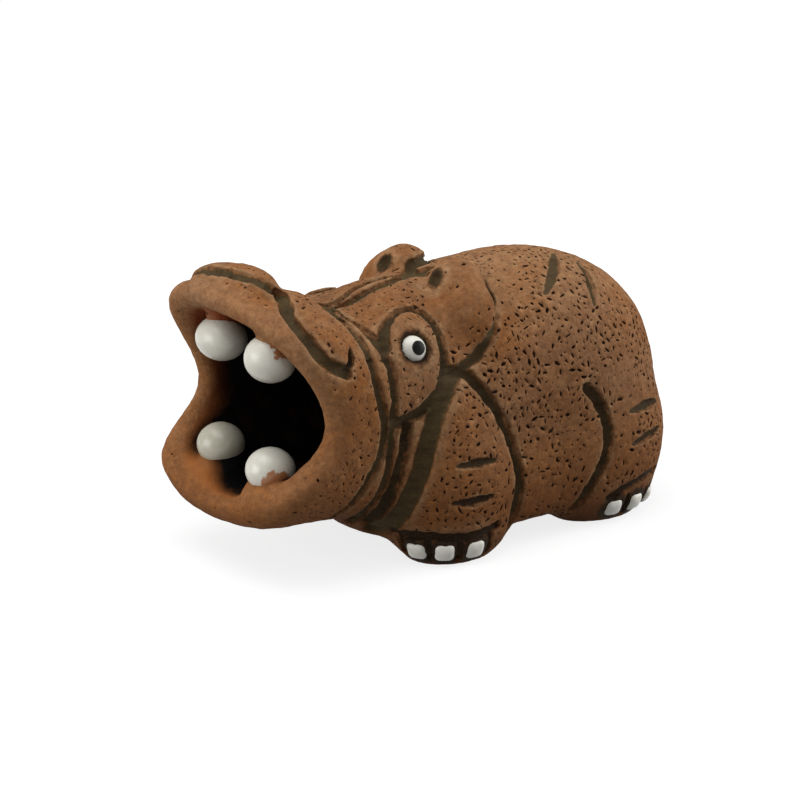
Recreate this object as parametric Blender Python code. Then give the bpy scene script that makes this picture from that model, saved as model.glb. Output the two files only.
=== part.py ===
# Hollow fired-clay hippopotamus with a wide open mouth.
# Metres, +Z up. The animal faces -Y and stands on its four soles at Z = 0.
import bpy
import bmesh
import numpy as np
from math import cos, radians, sin

# Overall size
LENGTH = 0.1315
WIDTH = 0.0702
HEIGHT = 0.0715

# The drawing is in millimetres on a body of this size, and is scaled to the overall size
DRAWN = (70.2, 131.5, 71.5)
MIDDLE = 9.55

# Clay and mouth
WALL = 0.0055
BELLY_GAP = 0.0022
MUZZLE_WIDTH = 0.0655
MUZZLE_HEIGHT = 0.0590
MOUTH_WIDTH = 0.0520
MOUTH_HEIGHT = 0.0436
LIP_ROUNDING = 0.0080
GAPE_SKEW = 0.12
GAPE_TURN = 0.08

# Teeth, eyes, ears and toes
UPPER_TOOTH = (0.0062, 0.0060, 0.0056)
LOWER_TOOTH = (0.0060, 0.0058, 0.0052)
TOOTH_SPREAD = 0.0240
TOOTH_RISE = 0.0267
EYE_RADIUS = 0.0032
SOCKET_RADIUS = 0.0043
SOCKET_DEPTH = 0.0012
NAIL_RADIUS = 0.0034
EAR_RADIUS = 0.0072

# Carving
FOLD_WIDTH = 0.0028
FOLD_DEPTH = 0.0017

# Surface mesh, its box and step in drawing millimetres
STEP = 0.8
BOX_LOW = (-40.0, -65.0, -2.0)
BOX_HIGH = (40.0, 82.0, 78.0)
TRIANGLES = 11500

CLAY_COLOUR = (0.30, 0.135, 0.070, 1.0)

PER_MM = np.array((WIDTH, LENGTH, HEIGHT), np.float32) / np.array(DRAWN, np.float32)


def made(q):
    """Points of the drawing, in metres on the finished piece."""
    return (np.asarray(q, np.float32) - np.array((0.0, MIDDLE, 0.0), np.float32)) * PER_MM


def mirrored(q):
    """Points folded onto the animal's left side."""
    return np.column_stack((np.abs(q[:, 0]), q[:, 1], q[:, 2]))


def ramp(a, b, t):
    return a + (b - a) * t


def leaned(q, centre, lean):
    """Points about a centre, turned back by a lean in the cross plane."""
    x, y, z = (q - np.array(centre, np.float32)).T
    c, s = cos(radians(lean)), sin(radians(lean))
    return np.column_stack((c * x - s * z, y, s * x + c * z))


def lump(q, centre, radii, lean=0.0, power=2.0):
    """Distance to a rounded lump of clay."""
    r = np.array(radii, np.float32)
    u = np.abs(leaned(q, centre, lean)) / r + 1e-6
    size = (u ** power).sum(1) ** (1.0 / power)
    slope = np.sqrt((((u / size[:, None]) ** (power - 1.0) / r) ** 2).sum(1))
    return (size - 1.0) / slope


def joined(a, b, soft):
    """Two clays pressed together with a soft seam."""
    h = np.maximum(soft - np.abs(a - b), 0.0)
    return np.minimum(a, b) - h * h / (4.0 * soft)


def common(a, b, soft):
    return -joined(-a, -b, soft)


def hollowed(a, b, soft):
    """Clay a with b taken out of it."""
    return common(a, -b, soft)


def ring(q, wide, tall, middle, upper, lower):
    """Distance in the cross plane to a rounded oval, squarer above or below by its powers."""
    u = np.abs(q[:, 0]) / wide + 1e-6
    v = np.abs(q[:, 2] - middle) / tall + 1e-6
    power = ramp(lower, upper, np.clip((q[:, 2] - middle) / 12.0 + 0.5, 0.0, 1.0))
    size = (u ** power + v ** power) ** (1.0 / power)
    slope = np.hypot((u / size) ** (power - 1.0) / wide, (v / size) ** (power - 1.0) / tall)
    return (size - 1.0) / slope


def skewed(q, wide, t):
    """The gape is a little taller on the animal's right."""
    return 1.0 - GAPE_SKEW * np.clip(q[:, 0] / wide, -1.0, 1.0) * np.clip(t, 0.0, 1.0)


def rim(q):
    """How far forward the rim stands at each height: both lips reach out past the corners."""
    rise = q[:, 2] - 39.0
    up = 9.5 * (1.0 - np.cos(np.pi * np.clip(rise / 26.0, 0.0, 1.0))) / 2.0
    down = 13.4 * (1.0 - np.cos(np.pi * np.clip(-rise / 21.0, 0.0, 1.0))) / 2.0
    return -41.2 + GAPE_TURN * q[:, 0] - up - down


def muzzle(q):
    t = np.clip((-q[:, 1] - 16.0) / 38.0, -0.3, 1.1)
    wide = ramp(28.0, MUZZLE_WIDTH * 500.0, t)
    tall = ramp(25.0, MUZZLE_HEIGHT * 500.0, t) * skewed(q, wide, t)
    outside = ring(q, wide, tall, ramp(33.7, 40.0, t), 3.1, 2.5)
    front = rim(q) - q[:, 1]
    return common(common(outside, front, LIP_ROUNDING * 1000.0), q[:, 1] + 10.0, 10.0)


def gape(q):
    t = np.clip((-q[:, 1] - 14.0) / 40.0, -0.2, 1.3)
    wide = ramp(20.0, MOUTH_WIDTH * 500.0, t)
    tall = ramp(17.0, MOUTH_HEIGHT * 500.0, t) * skewed(q, wide, t)
    return common(ring(q, wide, tall, ramp(38.0, 39.6, t), 3.2, 2.3), q[:, 1] + 6.0, 6.0)


def barrel(q):
    """Trunk and neck, the form that is hollow."""
    trunk = lump(q, (0, 34.8, 36), (32.2, 40, 32.4), 0, 2.1)
    rump = lump(q, (0, 46.8, 29), (30.5, 27.2, 25))
    return joined(joined(trunk, rump, 5), lump(q, (0, 6, 35), (29, 26, 29.5)), 12)


def base_clay(q):
    """The whole animal before carving, in millimetres of the drawing."""
    side = mirrored(q)
    f = joined(barrel(q), lump(q, (0, 26.5, 13), (31.3, 43, 9.8), 0, 4), 12)
    f = joined(f, lump(q, (0, -7, 16.5), (26, 18.5, 14), 0, 2.5), 6)
    f = common(f, BELLY_GAP * 1000.0 - q[:, 2], 2.5)
    f = joined(f, lump(side, (22.5, -2, 20), (12.5, 16, 25)), 5)
    f = joined(f, lump(side, (23, 0, 6.5), (11.5, 14.5, 9)), 3)
    f = joined(f, lump(side, (21.5, 46.5, 20), (12, 19.5, 23)), 6)
    f = joined(f, lump(side, (20, 49, 6.5), (12, 15, 9)), 3)
    f = joined(f, lump(q, (0, -8, 38), (27, 20, 25)), 8)
    f = joined(f, lump(q, (0, -2, 44), (23, 20, 18)), 5)
    f = joined(f, lump(side, (11, -3, 50), (11, 15, 10)), 3)
    f = joined(f, lump(side, (17, -12, 45), (10, 12, 15)), 4)
    f = joined(f, muzzle(q), 4)
    f = joined(f, lump(q, (14.5, -36, 58.3), (14.5, 6.5, 6.5), 24, 2.3), 2)
    f = joined(f, lump(q, (-11.5, -40.5, 64.2), (18.6, 6.5, 6.9), -6, 2.3), 2)
    ear = joined(lump(side, (11, 9, 63.2), (EAR_RADIUS * 1000.0,) * 3),
                 lump(side, (18.5, 7.5, 56.5), (7.5, 7, 11.5), -22), 3)
    f = joined(f, ear, 1.5)
    f = hollowed(f, gape(q), 4)
    f = hollowed(f, barrel(q) + WALL * 1000.0, 3)
    across = TOOTH_SPREAD * 500.0
    f = joined(f, lump(side, (across, -43.8, 20.6), (7.6, 7.4, 6.0)), 4)
    f = joined(f, lump(side, (across, -42.8, 59.0), (4.5, 4.5, 5.5)), 1.5)
    lower = lump(side, (across, -45.0, 26.6), np.array(LOWER_TOOTH) * 1000.0)
    # The upper tooth on the animal's right is the widest of the four
    above = 26.6 + TOOTH_RISE * 1000.0
    upper = np.array(UPPER_TOOTH) * 1000.0
    upper = np.minimum(lump(q, (across, -44.3, above), upper),
                       lump(q, (0.8 - across, -44.3, above), upper + (0.8, 0, -0.2)))
    return joined(f, np.minimum(lower, upper), 0.4)


# Carved lines, drawn on the animal's left side and repeated on its right.
# Each is half width and depth as shares of a fold, and points in drawing millimetres.
FOLDS = {
    "brow_line": (1.05, 1.1, ((0, -24, 61), (2, -17, 61), (2.5, -9, 63), (1.5, 0, 65), (0, 9, 66))),
    "ear_front": (1.2, 1.0, ((0, 2, 65), (4, 6, 65.5), (9, 14, 66))),
    "cheek_fold": (0.85, 1.1, ((2, -24, 61), (15, -26, 60), (21, -26, 57), (26, -26, 50),
                               (28.5, -25, 44), (29, -24, 38), (29, -25, 31), (28, -28, 25),
                               (24, -31, 18), (18, -33, 13))),
    "jowl_fold": (0.85, 1.1, ((2, -22, 61), (12, -23, 60.5), (20, -22, 57), (25, -21, 52),
                              (28, -20.5, 46), (28.5, -21.5, 38), (28.5, -22, 31), (26.5, -23, 23),
                              (21, -24, 15), (10, -23, 7))),
    "throat_fold": (1.1, 1.3, ((28.5, -17.5, 36), (28.5, -18.5, 30), (27, -20, 23), (23, -20.5, 16),
                               (16, -21, 9))),
    "neck_fold": (1.55, 1.1, ((27.5, -3.5, 47), (29, -7, 43), (30, -10.5, 38), (30.5, -13, 32),
                              (30, -15, 25), (28, -17, 18), (24, -18, 12), (15, -19, 6))),
    "eye_plate": (0.95, 1.1, ((23, -20, 54), (20, -18.5, 57.5), (17, -15, 59.5), (15, -10.5, 60.5),
                             (16, -7, 60.5), (19, -5, 59), (22, -4.5, 56), (25.5, -4.8, 52),
                             (27.5, -6, 47.5), (29, -8.5, 43.5), (29, -12, 40.5), (28.5, -16, 38.5),
                             (28.5, -20.5, 37.5))),
    "ear_edge": (0.9, 1.0, ((11, 16, 66), (17, 15.5, 64), (22, 14, 60.5), (25.5, 11, 56.5), (27, 7.5, 53),
                            (27, 3, 49.5), (27.5, -3, 47))),
    "leg_fold": (1.1, 1.3, ((27.5, -4, 47), (27.5, -0.5, 46.7), (29, 2, 44), (30.5, 5, 40), (31, 7.5, 35.5),
                            (31.5, 10.5, 29.5), (32, 12.5, 23.5), (32.5, 13.5, 18), (32, 13, 12),
                            (31, 11, 4))),
    "thigh_fold": (1.1, 1.3, ((32, 34.5, 38), (32.5, 37.5, 35), (33, 39.5, 30.5), (34, 40.3, 25),
                              (34, 39.7, 20), (33.5, 38, 16), (32.5, 35.5, 11), (31, 32.5, 5))),
    "front_toe_line": (0.8, 0.9, ((20, -17, 8), (24, -16.5, 8.3), (29, -14, 8.5), (33, -9, 8),
                                  (34.5, -4, 7.6), (35, 1, 8), (34, 6, 8.7))),
    "rear_toe_line": (0.8, 0.9, ((33, 42.5, 7.5), (33, 46, 9), (33, 50, 10), (32, 56, 11), (28, 62, 11))),
}

# The nostril folds, which differ from side to side, so these are not repeated
NOSTRILS = {
    "left_nostril": (1.1, 1.2, ((7, -38.5, 66.8), (11.3, -39.9, 66.2), (15.8, -41.6, 63.8),
                                (20.3, -42, 61.8), (24, -41, 58.5), (26.6, -38.7, 54.8),
                                (27.3, -34, 51.5))),
    "right_nostril": (0.9, 1.2, ((5.5, -40.5, 67.5), (2.5, -42, 68.6), (-1.8, -43.5, 69.4),
                                 (-6.2, -44.4, 70), (-12.7, -44.8, 69.6), (-20.5, -44, 68.2),
                                 (-24, -43.5, 66.5), (-27, -42.5, 63.5), (-29, -40.5, 59), (-29, -36, 53))),
}

# Short pressed gashes, tapered at both ends, in the same form
GASHES = {
    "upper_leg": (0.7, 1.0, ((34, -7.5, 26), (34.5, -1.5, 26), (33.5, 5, 25.5))),
    "lower_leg": (0.85, 1.0, ((34, -9, 17), (35, -3, 16.5), (34, 3.5, 16.8))),
    "rump_front": (1.0, 1.0, ((7, 43.5, 67), (12, 39.5, 66), (17, 35, 64), (21.5, 29, 61))),
    "rump_back": (0.8, 1.0, ((11, 48, 65), (17.5, 46.5, 62.5), (21.5, 44.5, 60), (25, 42.5, 57))),
    "upper_haunch": (0.85, 1.0, ((33.5, 47.5, 30), (32.5, 54, 30.3), (29.5, 60.5, 30))),
    "lower_haunch": (0.85, 1.0, ((34.5, 48, 21.5), (33.5, 54, 22.3), (31, 60, 23))),
    "nostril_slit": (0.8, 1.2, ((24, -30.5, 56), (26, -32.5, 53.5), (27, -34.5, 51.5))),
}

# Upright nicks between the toes, then the toes themselves, as points near the sole
NICKS = ((23.5, -16.5), (30, -12.5), (34, -5.8), (34.8, 3), (33, 49), (31, 57))
NAILS = ((27.2, -14.5), (32.2, -9.2), (34.5, -1.4), (33, 44.8), (33, 52.8), (28.5, 60))
EYE = (25.0, -12.7, 54.1)
EAR_HOLE = (11.0, 2.0, 66.5)


def slope(q):
    """Direction out of the clay at each point."""
    reach = 0.4 * np.eye(3, dtype=np.float32)
    rise = np.column_stack([base_clay(q + step) - base_clay(q - step) for step in reach])
    return rise / np.linalg.norm(rise, axis=1)[:, None]


def on_surface(q):
    """Points moved along the slope onto the uncarved surface."""
    q = np.asarray(q, np.float32)
    for _ in range(4):
        q = q - base_clay(q)[:, None] * slope(q)
    return q


def smooth_line(points, spacing=0.5):
    """Even points along a curve through the given ones."""
    p = np.array(points, np.float32)
    p = np.vstack((2 * p[0] - p[1], p, 2 * p[-1] - p[-2]))
    line = []
    for a, b, c, d in zip(p, p[1:], p[2:], p[3:]):
        t = np.arange(0.0, 1.0, spacing / max(np.linalg.norm(c - b), spacing))[:, None]
        line.append(0.5 * (2 * b + (c - a) * t + (2 * a - 5 * b + 4 * c - d) * t ** 2
                           + (3 * b - 3 * c + d - a) * t ** 3))
    return np.vstack(line + [p[-2:-1]])


def carvings():
    """Each carved line on the surface, with its half widths and depths."""
    nicks = [(0.55, 0.8, ((x, y, 7.0), (x, y, 3.5), (x, y, 0.5))) for x, y in NICKS]
    lines = []
    for shapes, sides, tapered in ((FOLDS.values(), (1, -1), 0.0), (NOSTRILS.values(), (1,), 0.0),
                                   (GASHES.values(), (1, -1), 0.6), (nicks, (1, -1), 0.0)):
        for wide, deep, points in shapes:
            for side in sides:
                line = on_surface(smooth_line(np.array(points) * (side, 1, 1)))
                taper = np.sin(np.pi * np.linspace(0.06, 0.94, len(line))) ** tapered
                lines.append((line, wide * FOLD_WIDTH * 500.0 * taper, deep * FOLD_DEPTH * 1000.0 * taper))
    return lines


def groove(q, lines):
    """Depth carved away at each point."""
    cut = np.zeros(len(q), np.float32)
    for line, wide, deep in lines:
        reach = wide.max()
        box = (q > line.min(0) - reach) & (q < line.max(0) + reach)
        near = np.flatnonzero(box.all(1))
        gap = np.linalg.norm(q[near, None] - line[None], axis=2) / wide
        t = np.clip((1.0 - gap) / 0.5, 0.0, 1.0)
        cut[near] = np.maximum(cut[near], (deep * t * t * (3.0 - 2.0 * t)).max(1))
    return cut


def studs():
    """Balls of clay set into the surface: eyes in their sockets and nails on the toes."""
    eye, *nails = on_surface([EYE] + [(x, y, 3.6) for x, y in NAILS])
    out = slope(np.vstack((eye, nails)))
    eye_ball = (eye - 2.2 * out[0], EYE_RADIUS * 1000.0)
    nail_balls = [(nail - 2.6 * way, NAIL_RADIUS * 1000.0) for nail, way in zip(nails, out[1:])]
    return eye, [eye_ball] + nail_balls


def clay(q, lines, sockets):
    """Distance to the finished surface, in drawing millimetres."""
    f = base_clay(q)
    near = np.flatnonzero(np.abs(f) < 3.0)
    close = q[near]
    side = mirrored(close)
    g = f[near] + groove(close, lines)
    eye, balls = sockets
    t = np.clip((1.0 - np.linalg.norm(side - eye, axis=1) / SOCKET_RADIUS / 1000.0) / 0.3, 0.0, 1.0)
    g = np.maximum(g, f[near] + SOCKET_DEPTH * 1000.0 * t * t * (3.0 - 2.0 * t))
    g = hollowed(g, lump(side, EAR_HOLE, (1.9, 1.9, 2.6)), 0.6)
    for centre, radius in balls:
        g = np.minimum(g, np.linalg.norm(side - centre, axis=1) - radius)
    f[near] = g
    return f


CORNERS = np.array([(i, j, k) for i in (0, 1) for j in (0, 1) for k in (0, 1)])
EDGES = [(a, b) for a in range(8) for b in range(a + 1, 8) if abs(CORNERS[a] - CORNERS[b]).sum() == 1]


def without_pinches(values):
    """Grid values with clay added wherever two parts would meet only at an edge or a corner."""
    size = values.shape
    windows = [((1, 1, 0), (0, 0, 0), (1, 1, 0), (1, 0, 0), (0, 1, 0)),
               ((1, 0, 1), (0, 0, 0), (1, 0, 1), (1, 0, 0), (0, 0, 1)),
               ((0, 1, 1), (0, 0, 0), (0, 1, 1), (0, 1, 0), (0, 0, 1))]
    for _ in range(8):
        changed = 0
        for span, *corners in windows:
            views = [values[tuple(slice(c, n - s + c) for c, s, n in zip(corner, span, size))]
                     for corner in corners]
            a, b, c, d = (view < 0.0 for view in views)
            crossed = (a == b) & (c == d) & (a != c)
            changed += int(crossed.sum())
            for view in views:
                view[crossed] = np.minimum(view[crossed], -0.02)
        for corner in CORNERS[:4]:
            ends = (corner, 1 - corner)
            views = [values[tuple(slice(c, n - 1 + c) for c, n in zip(at, size))] for at in CORNERS]
            inside = sum((view < 0.0).astype(np.int8) for view in views)
            pair = [values[tuple(slice(c, n - 1 + c) for c, n in zip(at, size))] < 0.0 for at in ends]
            alone = ((inside == 2) & pair[0] & pair[1]) | ((inside == 6) & ~pair[0] & ~pair[1])
            changed += int(alone.sum())
            for view in views:
                view[alone] = np.minimum(view[alone], -0.02)
        if not changed:
            break
    return values


def skin(field, low, high, step):
    """Closed quad surface round the points where the field is negative."""
    axes = [np.arange(a, b + step, step, dtype=np.float32) for a, b in zip(low, high)]
    size = np.array([len(axis) for axis in axes])
    grid = np.stack(np.meshgrid(*axes, indexing="ij"), -1).reshape(-1, 3)
    values = np.concatenate([field(part) for part in np.array_split(grid, len(grid) // 150000 + 1)])
    values = without_pinches(values.reshape(size))
    inside = values < 0.0
    filled = sum(inside[tuple(slice(c, n - 1 + c) for c, n in zip(corner, size))].astype(np.int8)
                 for corner in CORNERS)
    cells = np.argwhere((filled > 0) & (filled < 8))
    number = np.full(size - 1, -1)
    number[tuple(cells.T)] = np.arange(len(cells))
    ends = np.stack([values[tuple((cells + corner).T)] for corner in CORNERS], 1)
    total = np.zeros((len(cells), 3))
    count = np.zeros(len(cells))
    for a, b in EDGES:
        hit = (ends[:, a] < 0.0) != (ends[:, b] < 0.0)
        t = (ends[:, a] / np.where(hit, ends[:, a] - ends[:, b], 1.0))[:, None]
        total += np.where(hit[:, None], CORNERS[a] + t * (CORNERS[b] - CORNERS[a]), 0.0)
        count += hit
    points = (cells + total / count[:, None]) * step + np.array(low)
    quads = []
    for axis in range(3):
        first = inside[tuple(slice(0, n - (k == axis)) for k, n in enumerate(size))]
        second = inside[tuple(slice(int(k == axis), n) for k, n in enumerate(size))]
        cross = np.argwhere(first != second)
        u, v = np.eye(3, dtype=int)[[(axis + 1) % 3, (axis + 2) % 3]]
        around = [number[tuple((cross + way).T)] for way in (-u - v, -v, 0 * u, -u)]
        quad = np.stack(around, 1)
        leaving = first[tuple(cross.T)]
        quad[~leaving] = quad[~leaving][:, ::-1]
        quads.append(quad)
    return points, np.concatenate(quads)


def clay_mesh():
    lines, sockets = carvings(), studs()
    points, quads = skin(lambda q: clay(q, lines, sockets), BOX_LOW, BOX_HIGH, STEP)
    reach = 0.25 * np.eye(3)
    for _ in range(2):
        rise = np.column_stack([clay(points + way, lines, sockets) - clay(points - way, lines, sockets)
                                for way in reach]) / 0.5
        gap = np.clip(clay(points, lines, sockets), -0.15, 0.15)
        points = points - gap[:, None] * rise / np.maximum((rise ** 2).sum(1), 0.3)[:, None]
    mesh = bpy.data.meshes.new("fired_clay_body")
    mesh.from_pydata(made(points).tolist(), [], quads.tolist())
    mesh.validate()
    return mesh


def thinned(obj):
    """The same surface in fewer triangles."""
    fewer = obj.modifiers.new("Fewer faces", "DECIMATE")
    fewer.ratio = TRIANGLES / (2.0 * len(obj.data.polygons))
    fewer.use_collapse_triangulate = True
    bpy.context.view_layer.update()
    graph = bpy.context.evaluated_depsgraph_get()
    mesh = bpy.data.meshes.new_from_object(obj.evaluated_get(graph))
    obj.modifiers.clear()
    return mesh


def level_soles(mesh):
    """Feet cut off flat at Z = 0 and closed."""
    bm = bmesh.new()
    bm.from_mesh(mesh)
    parts = bm.verts[:] + bm.edges[:] + bm.faces[:]
    cut = bmesh.ops.bisect_plane(bm, geom=parts, dist=1e-6, plane_co=(0, 0, 0), plane_no=(0, 0, 1),
                                 clear_inner=True)
    for piece in cut["geom_cut"]:
        if isinstance(piece, bmesh.types.BMVert):
            piece.co.z = 0.0
    bmesh.ops.holes_fill(bm, edges=[edge for edge in bm.edges if edge.is_boundary], sides=0)
    bmesh.ops.triangulate(bm, faces=[face for face in bm.faces if len(face.verts) > 3])
    bmesh.ops.recalc_face_normals(bm, faces=bm.faces[:])
    bm.to_mesh(mesh)
    bm.free()


def clay_material():
    material = bpy.data.materials.new("fired_clay")
    material.use_nodes = True
    shader = material.node_tree.nodes["Principled BSDF"]
    shader.inputs["Base Color"].default_value = CLAY_COLOUR
    shader.inputs["Roughness"].default_value = 0.82
    return material


def main():
    for obj in list(bpy.data.objects):
        bpy.data.objects.remove(obj)
    collection = bpy.data.collections.new("hippopotamus_figurine")
    bpy.context.scene.collection.children.link(collection)
    body = bpy.data.objects.new("clay_body", clay_mesh())
    collection.objects.link(body)
    body.data = thinned(body)
    level_soles(body.data)
    body.data.name = "clay_body"
    body.data.materials.append(clay_material())
    body.data.shade_smooth()


main()
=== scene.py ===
from math import cos, pi, radians, sin

import bmesh
import bpy
import numpy as np
from bpy.props import FloatProperty, FloatVectorProperty, IntProperty, PointerProperty
from bpy.types import Operator, Panel, PropertyGroup
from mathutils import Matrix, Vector


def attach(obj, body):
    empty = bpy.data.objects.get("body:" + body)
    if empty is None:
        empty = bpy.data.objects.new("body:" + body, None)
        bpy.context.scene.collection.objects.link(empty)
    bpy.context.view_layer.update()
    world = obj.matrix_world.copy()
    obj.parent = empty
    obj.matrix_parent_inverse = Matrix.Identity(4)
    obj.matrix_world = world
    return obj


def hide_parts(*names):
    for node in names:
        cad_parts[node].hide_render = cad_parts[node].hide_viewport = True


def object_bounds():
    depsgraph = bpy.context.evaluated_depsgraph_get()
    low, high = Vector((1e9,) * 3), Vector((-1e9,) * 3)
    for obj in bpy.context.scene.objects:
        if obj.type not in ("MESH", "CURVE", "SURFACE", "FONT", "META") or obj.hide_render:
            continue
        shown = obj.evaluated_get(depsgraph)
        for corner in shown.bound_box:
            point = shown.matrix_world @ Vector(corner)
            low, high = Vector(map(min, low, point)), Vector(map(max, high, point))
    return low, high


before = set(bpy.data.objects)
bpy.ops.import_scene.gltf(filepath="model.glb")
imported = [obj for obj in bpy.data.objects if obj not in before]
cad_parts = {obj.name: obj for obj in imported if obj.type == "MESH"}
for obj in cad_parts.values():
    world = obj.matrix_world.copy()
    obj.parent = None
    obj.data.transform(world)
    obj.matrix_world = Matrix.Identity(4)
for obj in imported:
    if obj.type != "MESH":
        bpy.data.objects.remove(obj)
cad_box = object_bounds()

bl_info = {
    "name": "Fired clay hippopotamus",
    "version": (1, 0, 0),
    "blender": (4, 5, 0),
    "location": "3D View > Sidebar > Figurine",
    "description": "Carved and pitted clay animal with enamelled teeth, eyes and toenails",
    "category": "Add Mesh",
}

# The drawing is in millimetres on a body of this size, its middle this far back
DRAWN = np.array((70.2, 131.5, 71.5))
MIDDLE = 9.55
LOW, HIGH = (np.array(corner) for corner in cad_box)
PER_MM = (HIGH - LOW) / DRAWN

WALL = 5.5
BELLY_GAP = 2.2
MUZZLE = (65.5, 59.0)
MOUTH = (52.0, 43.6)
LIP_ROUNDING = 8.0
GAPE_SKEW = 0.12
GAPE_TURN = 0.08
LOWER_TOOTH = (6.0, 5.8, 5.2)
UPPER_TOOTH = (6.2, 6.0, 5.6)
TOOTH_SPREAD = 24.0
TOOTH_RISE = 26.7
EYE_RADIUS = 3.2
SOCKET = (4.3, 1.2)
NAIL_RADIUS = 3.4
EAR_RADIUS = 7.2
EYE_SUNK = 2.2
NAIL_SUNK = 2.6
FOLD = (2.8, 1.35)

# Spots of clay smeared on two teeth, with their reach, and how much painted shade darkens each tooth
SMEARS = (((17.3, -46.8, 24.8), 3.2), ((16.8, -43.4, 56.6), 2.9))
TOOTH_SHADE = (0.30, 0.75, 0.30, 0.34)

# How far the black spreads round a toenail and into an ear
TOE_STAIN = 4.6
EAR_STAIN = 2.9

# The clay is carved in rounds, and a vertex moves this far at most in one step
ROUNDS = 3
STEP = 0.3
POINTS_AT_ONCE = 60000

# What the camera and the lamps are turned to, in metres
CAMERA_TARGET = (0.0, -0.00955, 0.033)
LAMP_TARGET = (0.0, 0.0, 0.035)


def made(q):
    """Points of the drawing, in metres on the frame."""
    return (np.asarray(q, float) - (0.0, MIDDLE, 0.0)) * PER_MM


def drawn(p):
    """Points on the frame, in millimetres of the drawing."""
    return np.asarray(p, float) / PER_MM + (0.0, MIDDLE, 0.0)


def mirrored(q):
    return np.column_stack((np.abs(q[:, 0]), q[:, 1], q[:, 2]))


def ramp(a, b, t):
    return a + (b - a) * t


def eased(t):
    t = np.clip(t, 0.0, 1.0)
    return t * t * (3.0 - 2.0 * t)


def wobble(q, size, seed, waves=5):
    """Smooth uneven numbers between about -1 and 1, a given size across."""
    random = np.random.default_rng(seed)
    total = 0.0
    for _ in range(waves):
        way = random.normal(size=3)
        way *= 2.0 * pi / size * random.uniform(0.6, 1.4) / np.linalg.norm(way)
        total = total + np.sin(q @ way + random.uniform(0.0, 2.0 * pi))
    return total / waves ** 0.5 / 1.2


def leaned(q, centre, lean):
    x, y, z = (q - np.array(centre)).T
    c, s = cos(radians(lean)), sin(radians(lean))
    return np.column_stack((c * x - s * z, y, s * x + c * z))


def lump(q, centre, radii, lean=0.0, power=2.0):
    """Distance to a rounded lump of clay."""
    r = np.array(radii)
    u = np.abs(leaned(q, centre, lean)) / r + 1e-6
    size = (u ** power).sum(1) ** (1.0 / power)
    slope = np.sqrt((((u / size[:, None]) ** (power - 1.0) / r) ** 2).sum(1))
    return (size - 1.0) / slope


def joined(a, b, soft):
    h = np.maximum(soft - np.abs(a - b), 0.0)
    return np.minimum(a, b) - h * h / (4.0 * soft)


def common(a, b, soft):
    return -joined(-a, -b, soft)


def hollowed(a, b, soft):
    return common(a, -b, soft)


def ring(q, wide, tall, middle, upper, lower):
    """Distance in the cross plane to a rounded oval, squarer above or below."""
    u = np.abs(q[:, 0]) / wide + 1e-6
    v = np.abs(q[:, 2] - middle) / tall + 1e-6
    power = ramp(lower, upper, np.clip((q[:, 2] - middle) / 12.0 + 0.5, 0.0, 1.0))
    size = (u ** power + v ** power) ** (1.0 / power)
    slope = np.hypot((u / size) ** (power - 1.0) / wide, (v / size) ** (power - 1.0) / tall)
    return (size - 1.0) / slope


def skewed(q, wide, t):
    return 1.0 - GAPE_SKEW * np.clip(q[:, 0] / wide, -1.0, 1.0) * np.clip(t, 0.0, 1.0)


def rim(q):
    """How far forward the rim of the mouth stands at each height."""
    rise = q[:, 2] - 39.0
    up = 9.5 * (1.0 - np.cos(pi * np.clip(rise / 26.0, 0.0, 1.0))) / 2.0
    down = 13.4 * (1.0 - np.cos(pi * np.clip(-rise / 21.0, 0.0, 1.0))) / 2.0
    return -41.2 + GAPE_TURN * q[:, 0] - up - down


def muzzle(q):
    t = np.clip((-q[:, 1] - 16.0) / 38.0, -0.3, 1.1)
    wide = ramp(28.0, MUZZLE[0] / 2.0, t)
    tall = ramp(25.0, MUZZLE[1] / 2.0, t) * skewed(q, wide, t)
    outside = ring(q, wide, tall, ramp(33.7, 40.0, t), 3.1, 2.5)
    return common(common(outside, rim(q) - q[:, 1], LIP_ROUNDING), q[:, 1] + 10.0, 10.0)


def gape(q):
    t = np.clip((-q[:, 1] - 14.0) / 40.0, -0.2, 1.3)
    wide = ramp(20.0, MOUTH[0] / 2.0, t)
    tall = ramp(17.0, MOUTH[1] / 2.0, t) * skewed(q, wide, t)
    return common(ring(q, wide, tall, ramp(38.0, 39.6, t), 3.2, 2.3), q[:, 1] + 6.0, 6.0)


def barrel(q):
    """Trunk and neck, the form that is hollow."""
    trunk = lump(q, (0, 34.8, 36), (32.2, 40, 32.4), 0, 2.1)
    rump = lump(q, (0, 46.8, 29), (30.5, 27.2, 25))
    return joined(joined(trunk, rump, 5), lump(q, (0, 6, 35), (29, 26, 29.5)), 12)


def teeth():
    """Middle and radii of the four teeth; the upper one on the animal's right is the widest."""
    across, above = TOOTH_SPREAD / 2.0, 26.6 + TOOTH_RISE
    return (((across, -45.0, 26.6), LOWER_TOOTH), ((-across, -45.0, 26.6), LOWER_TOOTH),
            ((across, -44.3, above), UPPER_TOOTH),
            ((0.8 - across, -44.3, above), np.array(UPPER_TOOTH) + (0.8, 0.0, -0.2)))


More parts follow.
